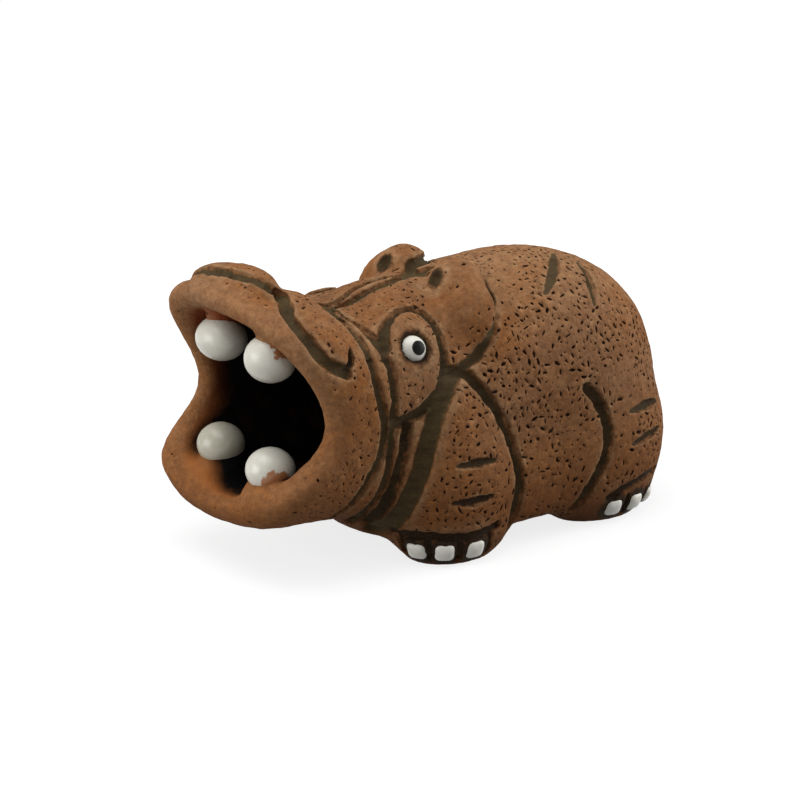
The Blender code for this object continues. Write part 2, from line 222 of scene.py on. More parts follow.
def base_clay(q):
    """The whole animal before carving."""
    side = mirrored(q)
    f = joined(barrel(q), lump(q, (0, 26.5, 13), (31.3, 43, 9.8), 0, 4), 12)
    f = joined(f, lump(q, (0, -7, 16.5), (26, 18.5, 14), 0, 2.5), 6)
    f = common(f, BELLY_GAP - q[:, 2], 2.5)
    f = joined(f, lump(side, (22.5, -2, 20), (12.5, 16, 25)), 5)
    f = joined(f, lump(side, (23, 0, 6.5), (11.5, 14.5, 9)), 3)
    f = joined(f, lump(side, (21.5, 46.5, 20), (12, 19.5, 23)), 6)
    f = joined(f, lump(side, (20, 49, 6.5), (12, 15, 9)), 3)
    f = joined(f, lump(q, (0, -8, 38), (27, 20, 25)), 8)
    f = joined(f, lump(q, (0, -2, 44), (23, 20, 18)), 5)
    f = joined(f, lump(side, (11, -3, 50), (11, 15, 10)), 3)
    f = joined(f, lump(side, (17, -12, 45), (10, 12, 15)), 4)
    f = joined(f, muzzle(q), 4)
    f = joined(f, lump(q, (14.5, -36, 58.3), (14.5, 6.5, 6.5), 24, 2.3), 2)
    f = joined(f, lump(q, (-11.5, -40.5, 64.2), (18.6, 6.5, 6.9), -6, 2.3), 2)
    ear = joined(lump(side, (11, 9, 63.2), (EAR_RADIUS,) * 3),
                 lump(side, (18.5, 7.5, 56.5), (7.5, 7, 11.5), -22), 3)
    f = joined(f, ear, 1.5)
    f = hollowed(f, gape(q), 4)
    f = hollowed(f, barrel(q) + WALL, 3)
    f = joined(f, lump(side, (TOOTH_SPREAD / 2.0, -43.8, 20.6), (7.6, 7.4, 6.0)), 4)
    f = joined(f, lump(side, (TOOTH_SPREAD / 2.0, -42.8, 59.0), (4.5, 4.5, 5.5)), 1.5)
    enamelled = [lump(q, centre, radii) for centre, radii in teeth()]
    return joined(f, np.minimum.reduce(enamelled), 0.4)


# Carved lines on the animal's left side, repeated on its right: half width and depth as
# shares of a fold, how black the colour in them is (stain, and painted shade low down), and points of the
# drawing
FOLDS = (
    (1.05, 1.1, 0.1, ((0, -24, 61), (2, -17, 61), (2.5, -9, 63), (1.5, 0, 65), (0, 9, 66))),
    (1.2, 1.0, 0.1, ((0, 2, 65), (4, 6, 65.5), (9, 14, 66))),
    (0.85, 1.1, 0.25, ((2, -24, 61), (15, -26, 60), (21, -26, 57), (26, -26, 50), (28.5, -25, 44),
                     (29, -24, 38), (29, -25, 31), (28, -28, 25), (24, -31, 18), (18, -33, 13))),
    (0.85, 1.1, 0.35, ((2, -22, 61), (12, -23, 60.5), (20, -22, 57), (25, -21, 52), (28, -20.5, 46),
                     (28.5, -21.5, 38), (28.5, -22, 31), (26.5, -23, 23), (21, -24, 15), (10, -23, 7))),
    (1.1, 1.3, 0.6, ((28.5, -17.5, 36), (28.5, -18.5, 30), (27, -20, 23), (23, -20.5, 16),
                     (16, -21, 9))),
    (1.55, 1.1, 0.2, ((27.5, -3.5, 47), (29, -7, 43), (30, -10.5, 38), (30.5, -13, 32), (30, -15, 25),
                     (28, -17, 18), (24, -18, 12), (15, -19, 6))),
    (0.95, 1.1, 0.5, ((23, -20, 54), (20, -18.5, 57.5), (17, -15, 59.5), (15, -10.5, 60.5),
                     (16, -7, 60.5), (19, -5, 59), (22, -4.5, 56), (25.5, -4.8, 52),
                     (27.5, -6, 47.5), (29, -8.5, 43.5), (29, -12, 40.5), (28.5, -16, 38.5),
                     (28.5, -20.5, 37.5))),
    (0.9, 1.0, 0.2, ((11, 16, 66), (17, 15.5, 64), (22, 14, 60.5), (25.5, 11, 56.5), (27, 7.5, 53),
                     (27, 3, 49.5), (27.5, -3, 47))),
    (1.1, 1.3, 0.45, ((27.5, -4, 47), (27.5, -0.5, 46.7), (29, 2, 44), (30.5, 5, 40), (31, 7.5, 35.5),
                     (31.5, 10.5, 29.5), (32, 12.5, 23.5), (32.5, 13.5, 18), (32, 13, 12),
                     (31, 11, 4))),
    (1.1, 1.3, 0.55, ((32, 34.5, 38), (32.5, 37.5, 35), (33, 39.5, 30.5), (34, 40.3, 25),
                     (34, 39.7, 20), (33.5, 38, 16), (32.5, 35.5, 11), (31, 32.5, 5))),
    (0.8, 0.9, 1.0, ((20, -17, 8), (24, -16.5, 8.3), (29, -14, 8.5), (33, -9, 8), (34.5, -4, 7.6),
                     (35, 1, 8), (34, 6, 8.7))),
    (0.8, 0.9, 1.0, ((33, 42.5, 7.5), (33, 46, 9), (33, 50, 10), (32, 56, 11), (28, 62, 11))),
)

# The nostril folds, which differ from side to side, so these are not repeated
NOSTRILS = (
    (1.1, 1.2, 0.25, ((7, -38.5, 66.8), (11.3, -39.9, 66.2), (15.8, -41.6, 63.8), (20.3, -42, 61.8),
                     (24, -41, 58.5), (26.6, -38.7, 54.8), (27.3, -34, 51.5))),
    (0.9, 1.2, 0.3, ((5.5, -40.5, 67.5), (2.5, -42, 68.6), (-1.8, -43.5, 69.4), (-6.2, -44.4, 70),
                     (-12.7, -44.8, 69.6), (-20.5, -44, 68.2), (-24, -43.5, 66.5), (-27, -42.5, 63.5),
                     (-29, -40.5, 59), (-29, -36, 53))),
)

# Short pressed gashes, tapered at both ends, in the same form
GASHES = (
    (0.7, 1.0, 0.6, ((34, -7.5, 26), (34.5, -1.5, 26), (33.5, 5, 25.5))),
    (0.85, 1.0, 0.9, ((34, -9, 17), (35, -3, 16.5), (34, 3.5, 16.8))),
    (1.0, 1.0, 0.1, ((7, 43.5, 67), (12, 39.5, 66), (17, 35, 64), (21.5, 29, 61))),
    (0.8, 1.0, 0.2, ((11, 48, 65), (17.5, 46.5, 62.5), (21.5, 44.5, 60), (25, 42.5, 57))),
    (0.85, 1.0, 0.6, ((33.5, 47.5, 30), (32.5, 54, 30.3), (29.5, 60.5, 30))),
    (0.85, 1.0, 0.6, ((34.5, 48, 21.5), (33.5, 54, 22.3), (31, 60, 23))),
    (0.8, 1.2, 0.9, ((24, -30.5, 56), (26, -32.5, 53.5), (27, -34.5, 51.5))),
)

NICKS = ((23.5, -16.5), (30, -12.5), (34, -5.8), (34.8, 3), (33, 49), (31, 57))
NAILS = ((27.2, -14.5), (32.2, -9.2), (34.5, -1.4), (33, 44.8), (33, 52.8), (28.5, 60))
EYE = (25.0, -12.7, 54.1)
EAR_HOLE = (11.0, 2.0, 66.5)


def slope(q):
    """Direction out of the clay at each point."""
    rise = np.column_stack([base_clay(q + way) - base_clay(q - way) for way in 0.4 * np.eye(3)])
    return rise / np.linalg.norm(rise, axis=1)[:, None]


def on_surface(q):
    q = np.asarray(q, float)
    for _ in range(4):
        q = q - base_clay(q)[:, None] * slope(q)
    return q


def smooth_line(points, spacing=0.5):
    """Even points along a curve through the given ones."""
    p = np.array(points, float)
    p = np.vstack((2 * p[0] - p[1], p, 2 * p[-1] - p[-2]))
    line = []
    for a, b, c, d in zip(p, p[1:], p[2:], p[3:]):
        t = np.arange(0.0, 1.0, spacing / max(np.linalg.norm(c - b), spacing))[:, None]
        line.append(0.5 * (2 * b + (c - a) * t + (2 * a - 5 * b + 4 * c - d) * t ** 2
                           + (3 * b - 3 * c + d - a) * t ** 3))
    return np.vstack(line + [p[-2:-1]])


def carvings():
    """Each carved line on the surface, with its half widths, depths and blackness."""
    nicks = [(0.55, 0.8, 1.0, ((x, y, 7.0), (x, y, 3.5), (x, y, 0.5))) for x, y in NICKS]
    lines = []
    for shapes, sides, tapered in ((FOLDS, (1, -1), 0.0), (NOSTRILS, (1,), 0.0), (GASHES, (1, -1), 0.6),
                                   (nicks, (1, -1), 0.0)):
        for wide, deep, black, points in shapes:
            for side in sides:
                line = on_surface(smooth_line(np.array(points) * (side, 1, 1)))
                taper = np.sin(pi * np.linspace(0.06, 0.94, len(line))) ** tapered
                lines.append((line, wide * FOLD[0] / 2.0 * taper, deep * FOLD[1] * taper, black))
    return lines


def levelled(q):
    """Points moved along the slope to the uncarved surface nearby."""
    return q - base_clay(q)[:, None] * slope(q)


def groove(q, lines):
    """At points of the uncarved surface: depth to carve away, distance to a carved line in
    half widths of it, and blackness."""
    q = q + 0.16 * np.column_stack([wobble(q, 2.6, seed) for seed in (3, 4, 5)])
    cut = np.zeros(len(q))
    near_line = np.full(len(q), 9.0)
    dark = np.zeros(len(q))
    for line, wide, deep, black in lines:
        reach = 2.2 * wide.max()
        box = (q > line.min(0) - reach) & (q < line.max(0) + reach)
        near = np.flatnonzero(box.all(1))
        if not len(near):
            continue
        gap = np.linalg.norm(q[near, None] - line[None], axis=2) / wide
        t = np.clip((1.0 - gap) / 0.42, 0.0, 1.0)
        cut[near] = np.maximum(cut[near], (deep * t * t * (3.0 - 2.0 * t)).max(1))
        closest = gap.min(1)
        closer = closest < near_line[near]
        near_line[near] = np.where(closer, closest, near_line[near])
        dark[near] = np.where(closer, black, dark[near])
    return cut, near_line, dark


def grooves(q, lines):
    """The same at any points near the surface, some thousands at a time."""
    parts = [groove(levelled(part), lines) for part in np.array_split(q, len(q) // POINTS_AT_ONCE + 1)]
    return [np.concatenate(rows) for rows in zip(*parts)]


def studs():
    """Places and outward ways of the eye and the nails on the animal's left."""
    places = on_surface([EYE] + [(x, y, 3.6) for x, y in NAILS])
    return places, slope(places)


def clay(q, cut, places, outward):
    """Distance to the finished surface, where the carving's depth is known."""
    f = base_clay(q)
    near = np.flatnonzero(np.abs(f) < 2.5)
    side = mirrored(q[near])
    g = f[near] + cut[near]
    t = (1.0 - np.linalg.norm(side - places[0], axis=1) / SOCKET[0]) / 0.3
    g = np.maximum(g, f[near] + SOCKET[1] * eased(t))
    g = hollowed(g, lump(side, EAR_HOLE, (1.9, 1.9, 2.6)), 0.6)
    for k, (place, way) in enumerate(zip(places, outward)):
        sunk, radius = (EYE_SUNK, EYE_RADIUS) if k == 0 else (NAIL_SUNK, NAIL_RADIUS)
        g = np.minimum(g, np.linalg.norm(side - (place - sunk * way), axis=1) - radius)
    f[near] = g
    return np.maximum(f, -q[:, 2])


def vertices_of(mesh):
    flat = np.empty(len(mesh.vertices) * 3, np.float32)
    mesh.vertices.foreach_get("co", flat)
    return flat.reshape(-1, 3).astype(float)


def move_vertices(mesh, points):
    mesh.vertices.foreach_set("co", np.clip(points, LOW, HIGH).astype(np.float32).ravel())
    mesh.update()


def normals_of(mesh):
    flat = np.empty(len(mesh.vertices) * 3, np.float32)
    mesh.vertex_normals.foreach_get("vector", flat)
    return flat.reshape(-1, 3).astype(float)


def keep_numbers(mesh, name, values):
    """Stores one number on each vertex, for the materials and the pits."""
    layer = mesh.attributes.get(name) or mesh.attributes.new(name, "FLOAT", "POINT")
    layer.data.foreach_set("value", np.asarray(values, np.float32))


def add_object(name, mesh):
    old = bpy.data.objects.get(name)
    if old is not None:
        bpy.data.objects.remove(old)
    obj = bpy.data.objects.new(name, mesh)
    bpy.context.scene.collection.objects.link(obj)
    return obj


def settle(obj):
    """Turns what the modifiers make into a plain mesh and removes them."""
    bpy.context.view_layer.update()
    graph = bpy.context.evaluated_depsgraph_get()
    mesh = bpy.data.meshes.new_from_object(obj.evaluated_get(graph))
    obj.modifiers.clear()
    obj.data = mesh
    mesh.name = obj.name
    return mesh


def softened(mesh, values, times):
    """Numbers on the vertices, each evened out with its neighbours'."""
    ends = np.empty(len(mesh.edges) * 2, np.int32)
    mesh.edges.foreach_get("vertices", ends)
    a, b = ends.reshape(-1, 2).T
    count = np.bincount(ends, minlength=len(values))
    for _ in range(times):
        around = (np.bincount(a, values[b], len(values)) + np.bincount(b, values[a], len(values)))
        values = 0.4 * values + 0.6 * around / np.maximum(count, 1)
    return values


def triangle_count(mesh):
    return sum(face.loop_total - 2 for face in mesh.polygons)


def set_inputs(modifier, values):
    """Sets a node tree's inputs by their identifiers."""
    for item in modifier.node_group.interface.items_tree:
        if item.item_type == "SOCKET" and item.in_out == "INPUT" and item.name in values:
            modifier[item.identifier] = values[item.name]


class Tree:
    """A node tree that is built a node at a time."""

    def __init__(self, tree):
        self.tree = tree

    def node(self, kind, settings=None, **inputs):
        made_node = self.tree.nodes.new(kind)
        for key, value in (settings or {}).items():
            setattr(made_node, key, value)
        for key, value in inputs.items():
            self.put(made_node, key.replace("_", " "), value)
        return made_node

    def put(self, node, key, value):
        socket = node.inputs[int(key)] if key.isdigit() else node.inputs[key]
        if isinstance(value, bpy.types.NodeSocket):
            self.tree.links.new(value, socket)
        elif isinstance(value, bpy.types.Node):
            self.tree.links.new(value.outputs[0], socket)
        else:
            socket.default_value = value


def geometry_tree(name, sockets):
    """An empty geometry tree with named inputs, and its input and output nodes."""
    group = bpy.data.node_groups.new(name, "GeometryNodeTree")
    group.interface.new_socket("Geometry", in_out="INPUT", socket_type="NodeSocketGeometry")
    for label, kind, default in sockets:
        item = group.interface.new_socket(label, in_out="INPUT", socket_type=kind)
        if default is not None:
            item.default_value = default
    group.interface.new_socket("Geometry", in_out="OUTPUT", socket_type="NodeSocketGeometry")
    return group, group.nodes.new("NodeGroupInput"), group.nodes.new("NodeGroupOutput")


def pit_tree():
    """Ragged slits pressed into the clay at random, no two of one pressing touching."""
    group, given, result = geometry_tree("pressed_pits", (
        ("Spacing", "NodeSocketFloat", 0.002),
        ("Length", "NodeSocketFloat", 0.0007),
        ("Width", "NodeSocketFloat", 0.0004),
        ("Depth", "NodeSocketFloat", 0.0008),
        ("Raggedness", "NodeSocketFloat", 0.0003),
        ("Sides", "NodeSocketInt", 6),
        ("Seed", "NodeSocketInt", 4),
        ("Clay", "NodeSocketMaterial", None)))
    t = Tree(group)
    share = t.node("GeometryNodeInputNamedAttribute", {"data_type": "FLOAT"}, Name="pitting")
    spots = t.node("GeometryNodeDistributePointsOnFaces", {"distribute_method": "POISSON"},
                   Mesh=given.outputs["Geometry"], Distance_Min=given.outputs["Spacing"],
                   Density_Max=900000.0, Density_Factor=share, Seed=given.outputs["Seed"])
    size = t.node("FunctionNodeRandomValue", {"data_type": "FLOAT_VECTOR"},
                  Min=(0.35, 0.5, 0.6), Max=(1.3, 1.2, 1.2), Seed=given.outputs["Seed"])
    shape = t.node("ShaderNodeCombineXYZ", X=given.outputs["Length"], Y=given.outputs["Width"],
                   Z=given.outputs["Depth"])
    scale = t.node("ShaderNodeVectorMath", {"operation": "MULTIPLY"})
    t.put(scale, "0", size)
    t.put(scale, "1", shape)
    smaller = t.node("GeometryNodeInputNamedAttribute", {"data_type": "FLOAT"}, Name="pit_size")
    sized = t.node("ShaderNodeVectorMath", {"operation": "SCALE"})
    t.put(sized, "0", scale)
    t.put(sized, "Scale", smaller)
    lean = t.node("FunctionNodeRandomValue", {"data_type": "FLOAT_VECTOR"},
                  Min=(-0.35, -0.35, -pi), Max=(0.35, 0.35, pi), Seed=given.outputs["Seed"])
    turned = t.node("FunctionNodeRotateRotation", {"rotation_space": "LOCAL"},
                    Rotation=spots.outputs["Rotation"], Rotate_By=lean)
    punch = t.node("GeometryNodeMeshCone", None, Vertices=given.outputs["Sides"], Side_Segments=1,
                   Fill_Segments=1, Radius_Top=1.4, Radius_Bottom=0.6, Depth=2.0)
    lowered = t.node("GeometryNodeTransform", None, Geometry=punch.outputs["Mesh"],
                     Translation=(0.0, 0.0, -1.0))
    placed = t.node("GeometryNodeInstanceOnPoints", None, Points=spots.outputs["Points"],
                    Instance=lowered, Rotation=turned, Scale=sized)
    punches = t.node("GeometryNodeRealizeInstances", None, Geometry=placed)
    rough = t.node("ShaderNodeTexNoise", {"noise_dimensions": "3D"}, Scale=1700.0, Detail=1.0)
    centred = t.node("ShaderNodeVectorMath", {"operation": "SUBTRACT"})
    t.put(centred, "0", rough.outputs["Color"])
    t.put(centred, "1", (0.5, 0.5, 0.5))
    shake = t.node("ShaderNodeVectorMath", {"operation": "SCALE"})
    t.put(shake, "0", centred)
    t.put(shake, "Scale", given.outputs["Raggedness"])
    ragged = t.node("GeometryNodeSetPosition", None, Geometry=punches, Offset=shake)
    marked = t.node("GeometryNodeStoreNamedAttribute", {"data_type": "FLOAT", "domain": "FACE"},
                    Geometry=ragged, Name="pit", Value=1.0)
    cut = t.node("GeometryNodeMeshBoolean", {"operation": "DIFFERENCE", "solver": "MANIFOLD"})
    t.put(cut, "Mesh 1", given.outputs["Geometry"])
    t.put(cut, "Mesh 2", marked)
    real = t.node("GeometryNodeRealizeInstances", None, Geometry=cut.outputs["Mesh"])
    coated = t.node("GeometryNodeSetMaterial", None, Geometry=real, Material=given.outputs["Clay"])
    t.put(result, "Geometry", coated)
    return group


def dome_tree():
    """A smooth lump of enamel on each point, sized and turned by the point's own numbers."""
    group, given, result = geometry_tree("enamel_domes", (
        ("Segments", "NodeSocketInt", 48),
        ("Unevenness", "NodeSocketFloat", 0.0001),
        ("Feature", "NodeSocketFloat", 250.0),
        ("Enamel", "NodeSocketMaterial", None)))
    t = Tree(group)
    half = t.node("ShaderNodeMath", {"operation": "MULTIPLY"})
    t.put(half, "0", given.outputs["Segments"])
    t.put(half, "1", 0.5)
    ball = t.node("GeometryNodeMeshUVSphere", None, Segments=given.outputs["Segments"],
                  Rings=half, Radius=1.0)
    size = t.node("GeometryNodeInputNamedAttribute", {"data_type": "FLOAT_VECTOR"}, Name="size")
    outward = t.node("GeometryNodeInputNamedAttribute", {"data_type": "FLOAT_VECTOR"}, Name="outward")
    turned = t.node("FunctionNodeAlignRotationToVector", {"axis": "Z"}, Vector=outward)
    placed = t.node("GeometryNodeInstanceOnPoints", None, Points=given.outputs["Geometry"],
                    Instance=ball.outputs["Mesh"], Rotation=turned, Scale=size)
    real = t.node("GeometryNodeRealizeInstances", None, Geometry=placed)
    noise = t.node("ShaderNodeTexNoise", {"noise_dimensions": "3D"}, Scale=given.outputs["Feature"],
                   Detail=2.0)
    uneven = t.node("ShaderNodeMath", {"operation": "MULTIPLY"})
    t.put(uneven, "0", noise.outputs[0])
    t.put(uneven, "1", given.outputs["Unevenness"])
    normal = t.node("GeometryNodeInputNormal")
    inward = t.node("ShaderNodeVectorMath", {"operation": "SCALE"})
    t.put(inward, "0", normal)
    t.put(inward, "Scale", uneven)
    moved = t.node("GeometryNodeSetPosition", None, Geometry=real, Offset=inward)
    smooth = t.node("GeometryNodeSetShadeSmooth", None, Geometry=moved)
    again = t.node("GeometryNodeRealizeInstances", None, Geometry=smooth)
    coated = t.node("GeometryNodeSetMaterial", None, Geometry=again, Material=given.outputs["Enamel"])
    t.put(result, "Geometry", coated)
    return group


def enamel_domes(name, places, sizes, outward, material, segments, uneven):
    """One object of enamel lumps, cut off level at the soles."""
    mesh = bpy.data.meshes.new(name)
    mesh.from_pydata(made(places).tolist(), [], [])
    for key, rows in (("size", np.asarray(sizes) * PER_MM.mean()), ("outward", outward)):
        layer = mesh.attributes.new(key, "FLOAT_VECTOR", "POINT")
        layer.data.foreach_set("vector", np.asarray(rows, np.float32).ravel())
    obj = add_object(name, mesh)
    domes = obj.modifiers.new("Enamel domes", "NODES")
    domes.node_group = dome_tree()
    set_inputs(domes, {"Segments": segments, "Unevenness": -uneven, "Enamel": material})
    settle(obj)
    move_vertices(obj.data, vertices_of(obj.data))
    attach(obj, "root")
    return obj


def shader_tree(name):
    material = bpy.data.materials.get(name)
    if material is not None:
        bpy.data.materials.remove(material)
    material = bpy.data.materials.new(name)
    material.use_nodes = True
    t = Tree(material.node_tree)
    place = t.node("ShaderNodeTexCoord").outputs["Object"]
    return material, t, material.node_tree.nodes["Principled BSDF"], place


def noise(t, place, scale, detail=4.0, rough=0.55, stretch=None, distortion=0.0):
    """Clay noise with this many features to the metre."""
    if stretch:
        place = t.node("ShaderNodeMapping", None, Vector=place, Scale=stretch).outputs[0]
    return t.node("ShaderNodeTexNoise", None, Vector=place, Scale=scale, Detail=detail,
                  Roughness=rough, Distortion=distortion).outputs[0]


def spread(t, value, low, high, start=0.0, end=1.0):
    """Stretches a number's range from low and high to start and end."""
    return t.node("ShaderNodeMapRange", {"clamp": True}, Value=value, From_Min=low, From_Max=high,
                  To_Min=start, To_Max=end).outputs[0]


def sums(t, kind, a, b):
    made_node = t.node("ShaderNodeMath", {"operation": kind})
    t.put(made_node, "0", a)
    t.put(made_node, "1", b)
    return made_node.outputs[0]


def blended(t, share, a, b, way="MIX"):
    """Colour a turned to colour b by a share."""
    mix = t.node("ShaderNodeMix", {"data_type": "RGBA", "blend_type": way})
    for key, value in ((0, share), (6, a), (7, b)):
        if isinstance(value, bpy.types.NodeSocket):
            t.tree.links.new(value, mix.inputs[key])
        else:
            mix.inputs[key].default_value = value
    return mix.outputs[2]


def numbers(t, name):
    return t.node("ShaderNodeAttribute", {"attribute_name": name}).outputs["Fac"]


def bumped(t, height, strength, distance, onto=None):
    bump = t.node("ShaderNodeBump", None, Strength=strength, Distance=distance, Height=height)
    if onto is not None:
        t.put(bump, "Normal", onto)
    return bump.outputs[0]


def clay_finish(colours):
    """Bare fired clay: mottled, stained grey and black in the carving, worn pale beside it, with painted
    light on top and painted shade in the folds, low down and deep in the mouth.
    """
    material, t, shader, place = shader_tree("fired_clay")
    broad = noise(t, place, 48.0, 3.0)
    patchy = noise(t, place, 190.0, 5.0, 0.62, distortion=0.4)
    mottle = noise(t, place, 480.0, 4.0, 0.65)
    grain = noise(t, place, 1100.0, 6.0, 0.72)
    fine = noise(t, place, 3600.0, 3.0, 0.6)
    smears = noise(t, place, 260.0, 4.0, 0.6, stretch=(1.0, 0.5, 2.2))
    colour = blended(t, spread(t, broad, 0.36, 0.64), colours.body, colours.rust)
    colour = blended(t, spread(t, patchy, 0.45, 0.75, 0.0, 0.55), colour, colours.pale)
    # Paler on top: partly paler clay, partly painted light on the faces turned up
    top = sums(t, "MULTIPLY", numbers(t, "height"), spread(t, smears, 0.3, 0.7, 0.5, 1.0))
    colour = blended(t, spread(t, top, 0.3, 1.0, 0.0, 0.64), colour, colours.pale)
    warm = sums(t, "MULTIPLY", numbers(t, "warm"), spread(t, smears, 0.3, 0.6, 0.5, 1.0))
    colour = blended(t, warm, colour, colours.rust)
    fold = sums(t, "ADD", numbers(t, "fold"), spread(t, grain, 0.25, 0.75, -0.10, 0.10))
    fold = sums(t, "ADD", fold, spread(t, mottle, 0.3, 0.7, -0.08, 0.08))
    beside = sums(t, "MULTIPLY", spread(t, fold, 1.02, 1.2), spread(t, fold, 2.1, 1.35))
    worn = sums(t, "MULTIPLY", beside, spread(t, patchy, 0.35, 0.58, 0.15, 0.85))
    colour = blended(t, worn, colour, colours.pale)
    colour = blended(t, spread(t, mottle, 0.32, 0.62, 0.5, 0.0), colour, colours.mottle)
    colour = blended(t, spread(t, grain, 0.3, 0.66, 0.5, 0.0), colour, colours.crumb)
    colour = blended(t, spread(t, fine, 0.6, 0.76, 0.0, 0.45), colour, colours.fleck)
    # Painted shade: the clay darkens towards the soles, where shade falls under the body
    low = sums(t, "MULTIPLY", numbers(t, "low"), 0.8)
    colour = blended(t, low, colour, colours.low_shade)
    # Pricks too small to be shapes
    stray = t.node("ShaderNodeVectorMath", {"operation": "ADD"})
    shift = t.node("ShaderNodeVectorMath", {"operation": "SCALE"}, Scale=0.0009)
    swirl = t.node("ShaderNodeTexNoise", None, Vector=place, Scale=900.0, Detail=2.0)
    t.put(shift, "0", swirl.outputs["Color"])
    t.put(stray, "0", place)
    t.put(stray, "1", shift)
    prick = t.node("ShaderNodeTexVoronoi", None, Vector=stray, Scale=640.0).outputs["Distance"]
    prick = sums(t, "ADD", prick, spread(t, patchy, 0.35, 0.65, 0.22, 0.0))
    prick = sums(t, "ADD", prick, spread(t, numbers(t, "pitting"), 0.0, 0.5, 0.5, 0.0))
    prick = spread(t, prick, 0.16, 0.24, 1.0, 0.0)
    colour = blended(t, sums(t, "MULTIPLY", prick, 0.8), colour, colours.pit)
    # Orange clay inside the lower lip, and under the upper one a dark red that is partly stain, partly
    # painted shade
    rise = t.node("ShaderNodeSeparateXYZ", None, Vector=place).outputs["Z"]
    lining = blended(t, spread(t, rise, 0.023, 0.038), colours.orange, colours.palate_stain_and_shade)
    colour = blended(t, sums(t, "MULTIPLY", numbers(t, "inner"), spread(t, mottle, 0.3, 0.6, 0.75, 1.0)),
                     colour, lining)
    # Blacker in the lower folds and towards the middle of each fold: partly stain, partly painted shade in
    # the creases
    stain_and_crease_shade = sums(t, "ADD", numbers(t, "black"), spread(t, fold, 0.75, 0.1, 0.0, 0.30))
    stain_and_crease_shade = sums(t, "ADD", stain_and_crease_shade, spread(t, smears, 0.3, 0.7, -0.28, 0.28))
    stain = blended(t, spread(t, stain_and_crease_shade, 0.0, 1.0), colours.olive, colours.black)
    stain = blended(t, spread(t, fine, 0.55, 0.78, 0.0, 0.35), stain, colours.body)
    colour = blended(t, spread(t, fold, 0.86, 1.12, 0.97, 0.0), colour, stain)
    # Nearly black deep in the mouth: mostly painted shade, with some stain
    colour = blended(t, numbers(t, "dark"), colour, colours.throat_shade_and_stain)
    colour = blended(t, spread(t, numbers(t, "pit"), 0.0, 1.0, 0.0, 0.94), colour, colours.pit)
    t.put(shader, "Base Color", colour)
    dry = spread(t, grain, 0.25, 0.75, 0.66, 0.92)
    t.put(shader, "Roughness", sums(t, "SUBTRACT", dry, spread(t, fold, 1.1, 0.8, 0.0, 0.14)))
    shader.inputs["Specular IOR Level"].default_value = 0.06
    height = sums(t, "ADD", sums(t, "MULTIPLY", grain, 0.9), sums(t, "MULTIPLY", fine, 0.45))
    height = sums(t, "SUBTRACT", height, sums(t, "MULTIPLY", prick, 0.8))
    rough = bumped(t, height, 0.9, 0.00032)
    rough = bumped(t, mottle, 0.5, 0.0005, rough)
    t.put(shader, "Normal", bumped(t, patchy, 0.35, 0.0008, rough))
    return material


def white_finish(colours):
    """Satin white enamel, a little uneven and stained, with clay smeared on it and painted shade on it where
    marked.
    """
    material, t, shader, place = shader_tree("white_enamel")
    cloud = noise(t, place, 300.0, 4.0)
    specks = noise(t, place, 1500.0, 4.0, 0.7)
    colour = blended(t, spread(t, cloud, 0.35, 0.75, 0.0, 0.5), colours.white, colours.cloud)
    colour = blended(t, spread(t, specks, 0.66, 0.80, 0.0, 0.4), colour, colours.speck)
    # Painted shade on the teeth, most on the one deepest in the mouth
    colour = blended(t, numbers(t, "tooth_shade"), colour, colours.tooth_shade)
    smear = sums(t, "ADD", numbers(t, "smear"), spread(t, noise(t, place, 520.0, 3.0), 0.3, 0.7, -0.35, 0.35))
    colour = blended(t, spread(t, smear, 0.45, 0.65, 0.0, 0.95), colour, colours.rust)
    t.put(shader, "Base Color", colour)
    t.put(shader, "Roughness", spread(t, cloud, 0.3, 0.7, 0.22, 0.38))
    t.put(shader, "Normal", bumped(t, cloud, 0.22, 0.0005))
    return material


def black_finish():
    """Glossy black enamel."""
    material, t, shader, place = shader_tree("black_enamel")
    cloud = noise(t, place, 900.0, 3.0)
    t.put(shader, "Base Color", blended(t, cloud, (0.004, 0.004, 0.004, 1.0), (0.016, 0.014, 0.013, 1.0)))
    t.put(shader, "Roughness", spread(t, cloud, 0.3, 0.7, 0.35, 0.5))
    shader.inputs["Specular IOR Level"].default_value = 0.12
    t.put(shader, "Normal", bumped(t, cloud, 0.1, 0.0002))
    return material


def floor_finish(colours):
    """Pale paper that shows white to the eye and keeps the shadow."""
    material, t, shader, place = shader_tree("studio_floor")
    shader.inputs["Base Color"].default_value = colours.floor
    shader.inputs["Roughness"].default_value = 0.9
    path = t.node("ShaderNodeLightPath")
    seen = sums(t, "MAXIMUM", path.outputs["Is Camera Ray"],
                sums(t, "MAXIMUM", path.outputs["Is Glossy Ray"], path.outputs["Is Transmission Ray"]))
    away = t.node("ShaderNodeVectorMath", {"operation": "LENGTH"})
    t.put(away, "0", place)
    far = spread(t, away.outputs["Value"], 0.12, 0.45, 0.80, 1.0)
    glow = t.node("ShaderNodeEmission", None, Color=(1.0, 1.0, 1.0, 1.0), Strength=far)
    paper = t.node("ShaderNodeBsdfDiffuse", None, Color=colours.floor)
    both = t.node("ShaderNodeAddShader")
    t.put(both, "0", paper)
    t.put(both, "1", glow)
    mix = t.node("ShaderNodeMixShader")
    t.put(mix, "0", seen)
    t.put(mix, "1", shader.outputs[0])
    t.put(mix, "2", both)
    output = material.node_tree.nodes["Material Output"]
    t.put(output, "Surface", mix)
    return material


def length(name, text, default, low=0.0):
    return FloatProperty(name=name, description=text, default=default, min=low, unit="LENGTH",
                         subtype="DISTANCE", precision=5)


def count(name, text, default, low):
    return IntProperty(name=name, description=text, default=default, min=low)


def colour(name, text, red_green_blue):
    return FloatVectorProperty(name=name, description=text, default=(*red_green_blue, 1.0), size=4,
                               subtype="COLOR", min=0.0, max=1.0)


